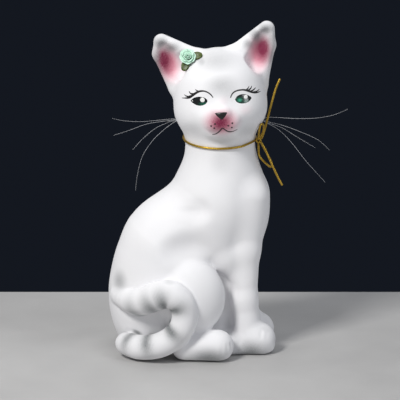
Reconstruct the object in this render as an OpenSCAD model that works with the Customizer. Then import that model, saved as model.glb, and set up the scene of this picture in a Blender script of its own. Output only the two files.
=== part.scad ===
// Seated ceramic cat with a gold neck cord, nylon whiskers and a ribbon rose.
// Millimetres, +Z up. The cat's body points along +X and its head is turned to -Y.
// The origin is at the middle of the flat underside, on the table.

/* [Casting] */
// Thickness of the slip-cast ceramic wall
wall = 4.5; // [3:0.5:6]
// Diameter of the vent hole in the underside
vent_d = 16; // [10:1:24]
// Radius that rounds the foot of the casting off the table
foot_r = 3; // [1:0.5:4]
// Number of facets round the casting
facets_round = 48; // [32:4:56]
// Height of one facet on the torso
facet_h = 7; // [4:1:8]

/* [Whiskers] */
// Diameter of one nylon whisker
whisker_d = 0.6; // [0.4:0.1:0.8]
// Diameter of the hole in each cheek that the whiskers are glued into
cheek_hole_d = 3; // [3:0.5:5]
// Depth of the glue in the cheek hole
glue_depth = 3; // [2:0.5:4]

/* [Cord] */
// Diameter of the metallic cord
cord_d = 1.8; // [1.2:0.1:2.2]
// Height of the neck cord above the table
cord_z = 179; // [175:1:182]
// Width of the tight bow knot
knot_w = 6; // [5:0.5:8]

/* [Rose] */
// Width of the ribbon bloom
bloom_w = 15; // [12:1:18]
// Length of one ribbon leaf loop
leaf_l = 9; // [7:1:11]
// Diameter of the glue pad under the bloom
pad_d = 9; // [7:1:11]

/* [Hidden] */

// ---- Tubes ----------------------------------------------------------------
// A Catmull-Rom curve through the points of a route, with some steps between them
function curve_point(a, b, c, d, t) =
  0.5 * (2 * b + (c - a) * t + (2 * a - 5 * b + 4 * c - d) * t * t + (3 * b - a - 3 * c + d) * t * t * t);
function smooth_route(route, steps) = let (n = len(route) - 1) concat(
  [for (i = [0 : n - 1], k = [0 : steps - 1])
    curve_point(route[max(i - 1, 0)], route[i], route[i + 1], route[min(i + 2, n)], k / steps)],
  [route[n]]);
function unit(v) = v / norm(v);
// The side way is kept square to the tube and to a plane that the tube never leaves far
// A radius is one number, or one for each point of the path
function tube_ring(path, i, radius, across, sides) =
  let (way = unit(path[min(i + 1, len(path) - 1)] - path[max(i - 1, 0)]),
       side = unit(cross(way, across)), up = cross(way, side), r = is_list(radius) ? radius[i] : radius)
  [for (k = [0 : sides - 1]) let (a = 360 * k / sides)
    path[i] + r * cos(a) * side + r * sin(a) * up];
module tube(path, r, across = [0, 1, 0], sides = 8) {
  n = len(path);
  points = [for (i = [0 : n - 1]) each tube_ring(path, i, r, across, sides)];
  walls = [for (i = [0 : n - 2], k = [0 : sides - 1])
    let (a = i * sides, b = a + sides, j = (k + 1) % sides)
    each [[a + k, b + k, b + j], [a + k, b + j, a + j]]];
  ends = [[for (k = [0 : sides - 1]) k], [for (k = [sides - 1 : -1 : 0]) (n - 1) * sides + k]];
  polyhedron(points, concat(walls, ends), convexity = 4);
}

// ---- The clay form -------------------------------------------------------
// A lump is ["ball", centre, half sizes, blend], ["limb", end, end, radius, radius, blend]
// or ["dent", centre, half sizes, blend]. Lumps melt into each other over the blend length.

TRUNK = [
  ["ball", [-28, 0, 46], [42, 42, 62], 1],               // rump
  ["limb", [-13, 0, 86], [14, 0, 128], 41, 32, 20],      // back and ribs
  ["ball", [-23, 0, 97], [27, 30, 27], 10],              // hollow of the back
  ["ball", [32, 0, 120], [34, 30, 46], 18],              // chest
  ["limb", [25, 0, 138], [24, 0, 196], 27, 30, 18],      // neck
  ["ball", [20, 0, 30], [36, 24, 72], 14],               // web under the belly
  ["ball", [24, 0, 4], [40, 30, 14], 8]                  // web between the feet
];
SIDES = [for (side = [-1, 1]) each [
  ["dent", [2, 54 * side, 94], [28, 20, 15], 9],        // belly tuck
  ["ball", [0, 33 * side, 43], [28.5, 20, 39.5], 5],    // thigh
  ["ball", [25, 17 * side - 3, 122], [21, 17, 30], 8],  // shoulder
  ["limb", [51, 13 * side - 3, 132], [48, 15 * side - 3, 88], 14, 10, 9]  // top of the foreleg
]];
// Balls down one foreleg to its paw, and along one hind foot: centre for a side of +1, and radius
FORELEG = [[49, 14, 105, 11], [48, 15, 84, 10], [47.5, 16, 46, 8.5], [49, 16, 14, 12], [59, 16, 11, 12]];
FORELEG_SHIFT = -3;
// Balls down the fold of the elbow behind each foreleg
ELBOW = [[14, 24, 110, 9], [31, 19, 78, 7], [43, 16, 54, 7]];
HIND_FOOT = [[-4, 42, 10, 12], [22, 43, 11, 13.5]];
// Centreline of the tail from the rump round to its tip, with the radius at each point
TAIL_PATH = [
  [-57, -20, 49, 12], [-50, -34, 49, 12], [-39, -45, 51, 12], [-28, -50, 57, 11.5],
  [-17, -52, 59, 11], [-8, -53, 53, 10.5], [-5, -53, 43, 10], [-7, -53, 31, 10],
  [-16, -52, 20.5, 10], [-28, -50, 14, 10], [-43, -44, 11, 10], [-52, -37, 11.5, 9.5],
  [-57.5, -31, 12, 7], [-60, -28, 12, 2]
];

// The head has its own frame: x to the cat's left ear, -y to the nose, z to the crown
HEAD_AT = [24, -2, 216];
HEAD_TURN = 1;
HEAD_TILT = 4;
HEAD = concat([
  ["ball", [0, 3, 3], [38, 37, 36], 10],        // skull
  ["ball", [0, -4, -12], [37, 34, 24], 10],     // cheeks
  ["ball", [0, -28, -15], [15, 13, 13], 10],    // muzzle
  ["ball", [0, -24, -24], [13, 13, 7], 8]       // chin
]);

// The right ear leans out a little further than the left. Each has four corners in the head's frame,
// for inner base, outer base, outer bend and tip, and two ends of the dish pressed into its front.
RIGHT_EAR = [[-15, 2, 34], [-36, 5, 9], [-47, 4, 40], [-43, 3, 48]];
RIGHT_DISH = [[-35, -7, 25], [-43, -6, 42]];
LEFT_EAR = [[14, 2, 33], [34, 5, 7], [42.5, 4, 36], [40.5, 3, 51]];
LEFT_DISH = [[32, -7, 26], [39, -6, 45]];
EAR_R = 7;
EAR_DISH_R = [6.5, 4.5];

function soft_min(a, b, k) = min(a, b) - pow(max(k - abs(a - b), 0), 2) / (4 * k);
function ball_gap(p, c, r) =
  let (q = [(p.x - c.x) / r.x, (p.y - c.y) / r.y, (p.z - c.z) / r.z], n = norm(q))
  n * (n - 1) / max(norm([q.x / r.x, q.y / r.y, q.z / r.z]), 0.0001);
function limb_gap(p, a, b, ra, rb) =
  let (d = b - a, t = min(max((p - a) * d / (d * d), 0), 1))
  norm(p - a - t * d) - ra - (rb - ra) * t;
function lump_gap(p, l) =
  l[0] == "limb" ? limb_gap(p, l[1], l[2], l[3], l[4]) : ball_gap(p, l[1], l[2]);
// Signed distance from a pile of lumps: negative inside the clay
function pile_gap(p, lumps, i = 0, g = 90) =
  i == len(lumps) ? g :
  let (l = lumps[i], k = l[len(l) - 1], s = lump_gap(p, l))
  pile_gap(p, lumps, i + 1, l[0] == "dent" ? -soft_min(-g, s, k) : soft_min(g, s, k));

function turn_z(p, a) = [p.x * cos(a) - p.y * sin(a), p.x * sin(a) + p.y * cos(a), p.z];
function turn_y(p, a) = [p.x * cos(a) + p.z * sin(a), p.y, p.z * cos(a) - p.x * sin(a)];
function from_head(p) = HEAD_AT + turn_z(turn_y(p, -HEAD_TILT), HEAD_TURN);
function to_head(p) = turn_y(turn_z(p - HEAD_AT, -HEAD_TURN), HEAD_TILT);

function body_gap(p) =
  p.z < 160 ? pile_gap(p, SIDES, 0, pile_gap(p, TRUNK)) :
  pile_gap(to_head(p), HEAD, 0, pile_gap(p, TRUNK));

// Walks along a ray from a start distance to where the gap equals the level
function reach(o, d, t, level, steps = 26) =
  let (g = body_gap(o + t * d) - level)
  steps == 0 || abs(g) < 0.03 ? t : reach(o, d, max(t - 0.8 * g, 1), level, steps - 1);

// Middle of the casting at each height
MIDDLE_X = [[0, 4], [70, 0], [130, 18], [170, 23], [216, 24]];
MIDDLE_Y = [[170, 0], [216, -2]];
function middle(z) = [lookup(z, MIDDLE_X), lookup(z, MIDDLE_Y), z];
function ray(a, lift) = [cos(a) * cos(lift), sin(a) * cos(lift), sin(lift)];
function ring(z, lift, level, start, facets) =
  [for (i = [0 : facets - 1]) let (d = ray(360 * i / facets, lift), o = middle(z))
    o + reach(o, d, start, level) * d];
function foot_inset(z) = z >= foot_r ? 0 : sqrt(foot_r * foot_r - pow(foot_r - z, 2)) - foot_r;

// A closed skin through rings of points, from the point at its bottom to the point at its top
module skin(bottom, rings, top) {
  n = len(rings[0]);
  points = concat([bottom], [for (r = rings) each r], [top]);
  last = len(points) - 1;
  faces = concat(
    [for (i = [0 : n - 1]) [0, 1 + i, 1 + (i + 1) % n]],
    [for (k = [0 : len(rings) - 2], i = [0 : n - 1]) let (a = 1 + k * n, b = a + n, j = (i + 1) % n)
      each [[a + i, b + i, b + j], [a + i, b + j, a + j]]],
    [for (i = [0 : n - 1]) [last, last - n + (i + 1) % n, last - n + i]]);
  polyhedron(points, faces, convexity = 6);
}
function crown(level, start) = middle(HEAD_AT.z) + [0, 0, reach(middle(HEAD_AT.z), [0, 0, 1], start, level)];
// Rays for the outside walk inwards from out here, and rays for the cavity walk outwards
outside_start = 112;
inside_start = 4;
module outside() {
  head_z = HEAD_AT.z;
  n = facets_round;
  rings = concat(
    [for (z = [0, foot_r / 3, foot_r]) ring(z, 0, foot_inset(z), outside_start, n)],
    [for (z = [foot_r + 4 : facet_h : head_z - 1]) ring(z, 0, 0, outside_start, n)],
    [for (lift = [0 : 9 : 81]) ring(head_z, lift, 0, outside_start, n)]);
  skin(middle(0), rings, crown(0, outside_start));
}
module cavity() {
  head_z = HEAD_AT.z;
  n = facets_round * 3 / 4;
  rings = concat(
    [for (z = [wall, 2 * wall]) ring(z, 0, -wall - 2 * foot_r * (2 * wall - z) / wall, inside_start, n)],
    [for (z = [3 * wall : 2 * facet_h : head_z - 1]) ring(z, 0, -wall, inside_start, n)],
    [for (lift = [0 : 16 : 64]) ring(head_z, lift, -wall, inside_start, n)]);
  skin(middle(wall), rings, crown(-wall, inside_start));
}
// The vent opens under the belly, below the line that runs straight up to the head
VENT_X = 21;
module vent() translate([VENT_X, 0, -wall]) cylinder(h = 3 * wall, d = vent_d, $fn = 40);

// Solid limbs and the flat cut under them
module ball_at(p, side = 1, shift = 0) translate([p[0], p[1] * side + shift, p[2]]) sphere(p[3], $fn = 14);
module foreleg(side) for (balls = [FORELEG, ELBOW], i = [1 : len(balls) - 1]) hull() {
  ball_at(balls[i - 1], side, FORELEG_SHIFT);
  ball_at(balls[i], side, FORELEG_SHIFT);
}
module hind_foot(side) hull() {
  ball_at(HIND_FOOT[0], side);
  ball_at(HIND_FOOT[1], side);
}
module tail() {
  path = smooth_route(TAIL_PATH, 2);
  tube([for (p = path) [p[0], p[1], p[2]]], [for (p = path) p[3]], [0.25, 1, 0], 12);
}
module under_table() translate([-150, -150, -60]) cube([300, 300, 60]);

// An ear: two flat webs between ball corners, with a dish pressed into the front
module ear(corners, dish) {
  at = [for (p = corners) from_head(p)];
  difference() {
    union() {
      hull() for (i = [0, 1, 2]) translate(at[i]) sphere(EAR_R, $fn = 16);
      hull() for (i = [0, 2, 3]) translate(at[i]) sphere(EAR_R, $fn = 16);
    }
    hull() for (i = [0, 1]) translate(from_head(dish[i])) sphere(EAR_DISH_R[i], $fn = 16);
  }
}

// ---- Whiskers -------------------------------------------------------------
// Each cheek has one hole. Its height and the way it points are measured from the head's middle.
HOLE_Z = 194;
LEFT_CHEEK = 8;
RIGHT_CHEEK = 172;
// Offset of each strand from the middle of the hole, across and up
STRAND_AT = [[-0.7, 0.6], [0.7, 0.5], [-0.7, -0.6], [0.7, -0.7]];
// The free part of each whisker, from just outside the cheek to its tip
LEFT_WHISKERS = [
  [[66, 4, 196.2], [87, 1, 195.6], [104, -1, 196.3], [118, -3, 199.1], [130, -5, 204.4]],
  [[65, 5, 192], [76, 4, 189.5], [91.6, 2, 184.1], [106.3, 0, 177.5], [115.7, -1, 169.1]],
  [[64.5, 4, 191.3], [76, 3, 187.5], [88.4, 1, 180.1], [103.6, -2, 171.5]],
  [[64.5, 5, 190.6], [73.7, 4, 185.3], [84.2, 3, 174.8], [96.8, 2, 158.9], [112.6, 0, 141.6]]
];
RIGHT_WHISKERS = [
  [[-18, 4.5, 194.5], [-30.5, 1, 193.8], [-42.7, -2, 193.4], [-55.7, -4, 194.6], [-65, -6, 196.8]],
  [[-18, 2.8, 193.5], [-24, 2, 193], [-37, -1, 191.2], [-51, -5, 186.7], [-64, -9, 183.1]],
  [[-17, 4.3, 192.6], [-20, 4, 191.4], [-29.6, 1, 187.3], [-39.8, -2, 179.3], [-48.2, -5, 170.4]],
  [[-16, 2.9, 190.8], [-23, 2.5, 185.5], [-32.4, 2, 176.2], [-40.8, 1, 163], [-45, 0, 147], [-46.4, 0, 134.6]]
];

function cheek_at(angle) = let (o = middle(HOLE_Z), d = ray(angle, 0)) o + reach(o, d, 112, 0) * d;
module at_cheek(angle) translate(cheek_at(angle)) rotate([0, 90, angle]) children();
module cheek_hole(angle) at_cheek(angle)
  translate([0, 0, -2 * wall]) cylinder(h = 4 * wall, d = cheek_hole_d, $fn = 12);
function strand_point(angle, i, out) =
  cheek_at(angle) + out * ray(angle, 0)
  + STRAND_AT[i].x * ray(angle + 90, 0) + [0, 0, STRAND_AT[i].y];
glue_stand = 0.6;
strand_grip = 2;

// A plug of clear glue that fills the mouth of the cheek hole round the four strands
module glue(angle) difference() {
  at_cheek(angle) translate([0, 0, -glue_depth])
    cylinder(h = glue_depth + glue_stand, d = cheek_hole_d, $fn = 12);
  for (i = [0 : 3]) translate(strand_point(angle, i, -strand_grip)) rotate([0, 90, angle])
    cylinder(h = 2 * strand_grip, d = whisker_d);
}
module whisker(angle, i, route) {
  root = [for (out = [-strand_grip, 0, glue_stand + 0.4]) strand_point(angle, i, out)];
  free = smooth_route(concat([root[2]], route), 4);
  color("gainsboro") tube(concat([root[0], root[1]], free), whisker_d / 2);
}
module glue_left() color("ivory") glue(LEFT_CHEEK);
module glue_right() color("ivory") glue(RIGHT_CHEEK);
module whisker_left_1() whisker(LEFT_CHEEK, 0, LEFT_WHISKERS[0]);
module whisker_left_2() whisker(LEFT_CHEEK, 1, LEFT_WHISKERS[1]);
module whisker_left_3() whisker(LEFT_CHEEK, 2, LEFT_WHISKERS[2]);
module whisker_left_4() whisker(LEFT_CHEEK, 3, LEFT_WHISKERS[3]);
module whisker_right_1() whisker(RIGHT_CHEEK, 0, RIGHT_WHISKERS[0]);
module whisker_right_2() whisker(RIGHT_CHEEK, 1, RIGHT_WHISKERS[1]);
module whisker_right_3() whisker(RIGHT_CHEEK, 2, RIGHT_WHISKERS[2]);
module whisker_right_4() whisker(RIGHT_CHEEK, 3, RIGHT_WHISKERS[3]);

// ---- Ceramic body ---------------------------------------------------------
module ceramic_body() color("white") difference() {
  union() {
    outside();
    tail();
    for (side = [-1, 1]) {
      foreleg(side);
      hind_foot(side);
    }
    ear(RIGHT_EAR, RIGHT_DISH);
    ear(LEFT_EAR, LEFT_DISH);
  }
  cavity();
  vent();
  under_table();
  cheek_hole(LEFT_CHEEK);
  cheek_hole(RIGHT_CHEEK);
}

// ---- Neck cord and bow ----------------------------------------------------
KNOT_ANGLE = -12;
KNOT_AT = [56.1, -7.7, 179];
// How far the cords reach into the knot, measured from its middle
knot_hold = knot_w / 2 - 0.8;
LOOP_UPPER = [[55.9, -9.8, 180.2], [56, -11.4, 182.2], [56.2, -14.2, 186], [56.5, -17, 190],
              [57.2, -18, 193], [58.8, -16.6, 194], [60.1, -13.5, 191.5], [59.8, -10.6, 186.5],
              [58.2, -8.8, 183.2], [56.95, -8.1, 180.9]];
LOOP_LOWER = [[56, -8, 177.5], [56.1, -8.3, 175.2], [56.2, -8.7, 171], [57, -8.7, 165.5], [61.5, -7, 160],
              [66, -5, 156], [67.5, -3.5, 157], [66.5, -3, 161], [62.5, -4.5, 168.5], [58.7, -6.3, 175.4],
              [57.6, -6.8, 177.6]];
TAIL_UPPER = [[58.3, -6.95, 179.9], [59.7, -6.9, 183], [61.8, -7.1, 190], [65.8, -6.5, 206],
              [70, -5, 221], [73.5, -4, 229.5]];
TAIL_LOWER = [[57.8, -9.3, 178], [59.3, -10.2, 175.6], [62.3, -11, 170], [68, -11.5, 157.5],
              [73, -11.5, 147], [76, -11.5, 141.5]];

module neck_cord() {
  // Angle that each end keeps from the middle of the knot, seen from the neck's middle
  hold = asin(knot_hold / norm(KNOT_AT - middle(cord_z)));
  o = middle(cord_z);
  path = [for (i = [0 : 48]) let (d = ray(KNOT_ANGLE + hold + (360 - 2 * hold) * i / 48, 0))
    o + (reach(o, d, 112, 0) + cord_d / 2 + 0.1) * d];
  color("goldenrod") tube(path, cord_d / 2, [0, 0, 1]);
}
module socket(route) {
  way = route[1] - route[0];
  translate(route[0]) rotate([0, acos(way.z / norm(way)), atan2(way.y, way.x)])
    cylinder(h = knot_w, d = cord_d);
}
module bow_knot() {
  across = knot_w / 2 - 2.4;
  side = ray(KNOT_ANGLE + 90, 0);
  color("darkgoldenrod") difference() {
    hull() for (i = [-1, 1]) translate(KNOT_AT + i * across * side) sphere(2.4, $fn = 28);
    for (i = [-1, 1]) translate(KNOT_AT + i * knot_hold * side - [0.5, -0.1, 0])
      rotate([0, 90 * i, KNOT_ANGLE + 90]) cylinder(h = knot_w, d = cord_d + 0.1);
    socket(LOOP_UPPER);
    socket([for (i = [9 : -1 : 8]) LOOP_UPPER[i]]);
    socket(LOOP_LOWER);
    socket([for (i = [10 : -1 : 9]) LOOP_LOWER[i]]);
    socket(TAIL_UPPER);
    socket(TAIL_LOWER);
  }
}
module bow_loop_upper() color("goldenrod") tube(smooth_route(LOOP_UPPER, 2), cord_d / 2, [1, 0.3, 0]);
module bow_loop_lower() color("goldenrod") tube(smooth_route(LOOP_LOWER, 2), cord_d / 2);
module cord_tail_upper() color("goldenrod") tube(smooth_route(TAIL_UPPER, 2), cord_d / 2);
module cord_tail_lower() color("goldenrod") tube(smooth_route(TAIL_LOWER, 2), cord_d / 2);

// ---- Ribbon rose ----------------------------------------------------------
// The rose lies on the front of the right ear's foot and looks forwards and up
ROSE_AT = [-2, -10.4, 247.4];
ROSE_TURN = [65, 0, -6];
pad_h = 2;
bloom_h = 6.5;
petal_t = 0.9;
module in_rose() translate(ROSE_AT) rotate(ROSE_TURN) children();

// The glue fills the hollow between the ear and the skull up to the bloom's foot
module rose_glue_pad() color("ivory") difference() {
  in_rose() translate([0, 0, -1.5 * pad_h]) cylinder(h = 2.5 * pad_h, d1 = pad_d, d2 = pad_d - 2);
  outside();
  ear(RIGHT_EAR, RIGHT_DISH);
}
module leaf(angle, lift) rotate([0, 0, angle]) translate([leaf_l * 0.85, 0, lift]) hull() {
  translate([-leaf_l / 3, 0, 0]) sphere(1, $fn = 16);
  for (i = [-1, 1]) translate([0, i * leaf_l / 6, 0]) sphere(1, $fn = 16);
  translate([leaf_l / 3, 0, 0]) sphere(1, $fn = 16);
}
module rose_leaves() color("olivedrab") in_rose() {
  leaf(-106, 1);
  leaf(10, 2.2);
}
module petal_cup(foot, lip, low, high) rotate_extrude($fn = 40)
  polygon([[0, low], [foot, low], [lip, high], [lip - petal_t, high], [foot - petal_t, low + petal_t],
           [0, low + petal_t]]);
module rose_bloom() color("honeydew") in_rose() translate([0, 0, pad_h]) {
  petal_cup(0.28 * bloom_w, 0.5 * bloom_w, 0, 0.62 * bloom_h);
  petal_cup(0.2 * bloom_w, 0.36 * bloom_w, petal_t / 2, 0.85 * bloom_h);
  petal_cup(0.12 * bloom_w, 0.22 * bloom_w, petal_t, bloom_h);
  cylinder(h = 0.9 * bloom_h, d = 0.12 * bloom_w, $fn = 24);
}

ceramic_body();
glue_left();
glue_right();
whisker_left_1();
whisker_left_2();
whisker_left_3();
whisker_left_4();
whisker_right_1();
whisker_right_2();
whisker_right_3();
whisker_right_4();
neck_cord();
bow_knot();
bow_loop_upper();
bow_loop_lower();
cord_tail_upper();
cord_tail_lower();
rose_glue_pad();
rose_leaves();
rose_bloom();
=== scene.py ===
"""The looks of the seated ceramic cat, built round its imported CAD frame.

The clay, the cords and the ribbon are drawn in millimetres and turned into metres as meshes are made.
"""
import math

import bmesh
import bpy
import numpy as np
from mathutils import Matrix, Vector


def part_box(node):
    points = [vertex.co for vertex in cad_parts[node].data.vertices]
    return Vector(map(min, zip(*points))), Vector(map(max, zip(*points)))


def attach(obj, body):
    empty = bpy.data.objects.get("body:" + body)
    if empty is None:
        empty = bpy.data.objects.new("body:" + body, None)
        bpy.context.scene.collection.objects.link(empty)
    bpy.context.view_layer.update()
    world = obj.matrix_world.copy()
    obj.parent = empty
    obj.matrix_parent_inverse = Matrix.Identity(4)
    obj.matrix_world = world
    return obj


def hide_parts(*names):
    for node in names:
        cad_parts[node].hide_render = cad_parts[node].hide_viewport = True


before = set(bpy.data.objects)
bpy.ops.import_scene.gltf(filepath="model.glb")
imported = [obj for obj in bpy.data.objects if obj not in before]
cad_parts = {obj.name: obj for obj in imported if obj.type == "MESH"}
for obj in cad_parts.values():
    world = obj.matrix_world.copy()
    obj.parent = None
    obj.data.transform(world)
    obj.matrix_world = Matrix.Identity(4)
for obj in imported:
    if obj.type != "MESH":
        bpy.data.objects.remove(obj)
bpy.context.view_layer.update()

import openvdb
from mathutils import Vector
from mathutils.bvhtree import BVHTree

MM = 0.001
rng = np.random.default_rng(7)


# ---- Small helpers ----------------------------------------------------------
def add(name, data):
    obj = bpy.data.objects.new(name, data)
    bpy.context.scene.collection.objects.link(obj)
    return obj


def mesh_of(name, points, faces):
    """A smooth mesh object from points in millimetres."""
    data = bpy.data.meshes.new(name)
    data.from_pydata((np.asarray(points) * MM).tolist(), [], faces)
    data.validate()
    data.update()
    data.polygons.foreach_set("use_smooth", [True] * len(data.polygons))
    return add(name, data)


def paint(obj, name, values):
    """Stores one number for each vertex, for the material to read."""
    layer = obj.data.attributes.new(name, "FLOAT", "POINT")
    layer.data.foreach_set("value", np.asarray(values, np.float32))


def points_of(obj):
    """The vertices of a mesh object, in millimetres."""
    flat = np.empty(len(obj.data.vertices) * 3, np.float32)
    obj.data.vertices.foreach_get("co", flat)
    return flat.reshape(-1, 3) / MM


def smooth_route(route, steps):
    """A Catmull-Rom curve through the points, as in the CAD source."""
    p = np.array(route, float)
    out = []
    for i in range(len(p) - 1):
        a, b, c, d = p[max(i - 1, 0)], p[i], p[i + 1], p[min(i + 2, len(p) - 1)]
        for t in np.arange(steps) / steps:
            out.append(0.5 * (2 * b + (c - a) * t + (2 * a - 5 * b + 4 * c - d) * t ** 2
                              + (3 * b - a - 3 * c + d) * t ** 3))
    return np.array(out + [p[-1]])


def even_route(route, gap):
    """The same route with points about a gap apart."""
    p = np.asarray(route, float)
    run = np.concatenate([[0], np.cumsum(np.linalg.norm(np.diff(p, axis=0), axis=1))])
    at = np.linspace(0, run[-1], max(int(run[-1] / gap), 3) + 1)
    return np.stack([np.interp(at, run, p[:, i]) for i in range(3)], 1)


# How far a tube's end stands out, in radii
CAP = 0.3


def tube_skin(path, radius, sides, relief=None):
    """Points and faces of a closed tube. relief gives extra radius from the angle and the distance along."""
    p = np.asarray(path, float)
    ways = np.gradient(p, axis=0)
    ways /= np.linalg.norm(ways, axis=1)[:, None]
    side = np.cross(ways[0], [0, 0, 1] if abs(ways[0][2]) < 0.9 else [1, 0, 0])
    run = np.concatenate([[0], np.cumsum(np.linalg.norm(np.diff(p, axis=0), axis=1))])
    radius = np.broadcast_to(radius, len(p))
    turns = np.arange(sides) * 2 * math.pi / sides
    points = []
    for i, (at, way) in enumerate(zip(p, ways)):
        side = side - way * (side @ way)
        side /= np.linalg.norm(side)
        up = np.cross(way, side)
        r = radius[i] + (relief(turns, run[i]) if relief else 0)
        points.append(at + (np.cos(turns) * r)[:, None] * side + (np.sin(turns) * r)[:, None] * up)
    caps = [p[:1] - ways[:1] * radius[0] * CAP, p[-1:] + ways[-1:] * radius[-1] * CAP]
    points = np.concatenate(points + caps)
    n, last = sides, len(points) - 1
    faces = [[i * n + j, i * n + (j + 1) % n, (i + 1) * n + (j + 1) % n, (i + 1) * n + j]
             for i in range(len(p) - 1) for j in range(n)]
    faces += [[last - 1, (j + 1) % n, j] for j in range(n)]
    faces += [[last, last - 1 - n + j, last - 1 - n + (j + 1) % n] for j in range(n)]
    return points, faces


def tube(name, path, radius, sides, relief=None):
    return mesh_of(name, *tube_skin(path, radius, sides, relief))


# ---- Camera, light and stage ------------------------------------------------
def aim(obj, place, target):
    obj.location = place
    obj.rotation_euler = (Vector(target) - Vector(place)).to_track_quat("-Z", "Y").to_euler()


def make_camera():
    distance, elevation = 1.4, math.radians(12)
    target = Vector((0.0076, 0, 0.1265))
    data = bpy.data.cameras.new("camera")
    data.lens, data.sensor_width = 150, 36
    data.clip_start, data.clip_end = 0.05, 50
    camera = add("camera", data)
    away = Vector((0, -math.cos(elevation), math.sin(elevation)))
    aim(camera, target + away * distance, target)
    bpy.context.scene.camera = camera


def soft_box(name, place, size, power, colour=(1, 1, 1)):
    data = bpy.data.lights.new(name, "AREA")
    data.shape, data.size, data.size_y = "RECTANGLE", size[0], size[1]
    data.energy, data.color = power, colour
    aim(add(name, data), place, (0.01, 0, 0.13))


def make_lights():
    soft_box("key_box", (-0.55, -0.75, 1.0), (0.3, 0.3), 12.8, (1, 0.99, 0.97))
    soft_box("right_box", (0.9, -0.7, 0.5), (0.3, 0.6), 2.6, (0.95, 0.97, 1))
    soft_box("top_box", (0.05, 0.1, 1.1), (0.5, 0.4), 2.5)
    world = bpy.data.worlds.new("studio")
    bpy.context.scene.world = world
    world.use_nodes = True
    nodes, links = world.node_tree.nodes, world.node_tree.links
    room, paper = nodes["Background"], nodes.new("ShaderNodeBackground")
    room.inputs["Color"].default_value = (0.8, 0.84, 0.92, 1)
    room.inputs["Strength"].default_value = 0.24
    paper.inputs["Color"].default_value = (0.007, 0.009, 0.014, 1)
    mix, ray = nodes.new("ShaderNodeMixShader"), nodes.new("ShaderNodeLightPath")
    links.new(ray.outputs["Is Camera Ray"], mix.inputs[0])
    links.new(room.outputs[0], mix.inputs[1])
    links.new(paper.outputs[0], mix.inputs[2])
    links.new(mix.outputs[0], nodes["World Output"].inputs["Surface"])


make_camera()
make_lights()
bpy.context.scene.view_settings.view_transform = "Standard"


# ---- Materials --------------------------------------------------------------
class Look:
    """A node material round one Principled shader."""

    def __init__(self, name, colour, roughness, **sockets):
        self.material = bpy.data.materials.new(name)
        self.material.use_nodes = True
        self.nodes = self.material.node_tree.nodes
        self.links = self.material.node_tree.links
        self.shader = self.nodes["Principled BSDF"]
        self.colour = None
        self.set("Base Color", (*colour, 1))
        self.set("Roughness", roughness)
        for key, value in sockets.items():
            self.set(key.replace("_", " "), value)

    def set(self, socket, value):
        self.shader.inputs[socket].default_value = value

    def node(self, kind, **settings):
        node = self.nodes.new(kind)
        for key, value in settings.items():
            if key in node.inputs:
                node.inputs[key].default_value = value
            else:
                setattr(node, key, value)
        return node

    def noise(self, scale, detail=3.0, stretch=None):
        where = self.node("ShaderNodeTexCoord").outputs["Object"]
        if stretch:
            mapping = self.node("ShaderNodeMapping", Scale=stretch)
            self.links.new(where, mapping.inputs["Vector"])
            where = mapping.outputs["Vector"]
        noise = self.node("ShaderNodeTexNoise", Scale=scale, Detail=detail)
        self.links.new(where, noise.inputs["Vector"])
        return noise.outputs["Fac"]

    def attribute(self, name):
        return self.node("ShaderNodeAttribute", attribute_name=name).outputs["Fac"]

    def map(self, value, low, high, to_low, to_high):
        ranger = self.node("ShaderNodeMapRange")
        for i, v in enumerate((low, high, to_low, to_high)):
            ranger.inputs[i + 1].default_value = v
        self.links.new(value, ranger.inputs[0])
        return ranger.outputs[0]

    def math(self, kind, a, b):
        node = self.node("ShaderNodeMath", operation=kind)
        for socket, value in zip(node.inputs, (a, b)):
            if isinstance(value, (int, float)):
                socket.default_value = value
            else:
                self.links.new(value, socket)
        return node.outputs[0]

    def tint(self, factor, colour):
        """Lays a colour over what is there, by a factor that varies over the surface."""
        mix = self.node("ShaderNodeMix", data_type="RGBA", blend_type="MIX")
        self.links.new(factor, mix.inputs[0])
        if self.colour is None:
            mix.inputs[6].default_value = self.shader.inputs["Base Color"].default_value
        else:
            self.links.new(self.colour, mix.inputs[6])
        mix.inputs[7].default_value = (*colour, 1)
        self.colour = mix.outputs[2]
        self.links.new(self.colour, self.shader.inputs["Base Color"])

    def rough(self, value):
        self.links.new(value, self.shader.inputs["Roughness"])

    def bump(self, height, distance):
        bump = self.node("ShaderNodeBump", Strength=1.0, Distance=distance)
        self.links.new(height, bump.inputs["Height"])
        self.links.new(bump.outputs["Normal"], self.shader.inputs["Normal"])


def ceramic_look():
    look = Look("bisque_white", (0.86, 0.855, 0.87), 0.7, Specular_IOR_Level=0.22)
    look.tint(look.map(look.noise(22, 2), 0.4, 0.7, 0, 0.5), (0.80, 0.80, 0.82))
    spray = look.noise(1500, 2)
    grain = look.map(spray, 0.3, 0.7, 0.82, 1.12)
    blush = look.math("MULTIPLY", look.attribute("blush"), grain)
    look.tint(blush, (0.84, 0.33, 0.42))
    wine = look.math("MULTIPLY", look.attribute("wine"), grain)
    look.tint(wine, (0.20, 0.016, 0.055))
    # The grey attribute is sprayed grey in most places and painted shade in others: under the chin, between
    # the hind foot and the forepaw, in the crease behind the shoulder, in the ear hollows and on the inside
    # of the tail's upper arc.
    grey = look.math("MULTIPLY", look.attribute("grey"), grain)
    look.tint(grey, (0.19, 0.20, 0.205))
    look.rough(look.map(look.noise(260, 4), 0.3, 0.7, 0.6, 0.8))
    look.bump(look.noise(1100, 5), 0.00008)
    return look.material


def plain_look(name, colour, roughness, second, scale, distance, **sockets):
    """A solid colour that drifts a little, with fine grain."""
    look = Look(name, colour, roughness, **sockets)
    look.tint(look.map(look.noise(scale, 4), 0.35, 0.65, 0, 1), second)
    look.rough(look.map(look.noise(scale * 3, 3), 0.3, 0.7, roughness * 0.8, min(roughness * 1.2, 1)))
    look.bump(look.noise(scale * 5, 4), distance)
    return look.material


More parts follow.
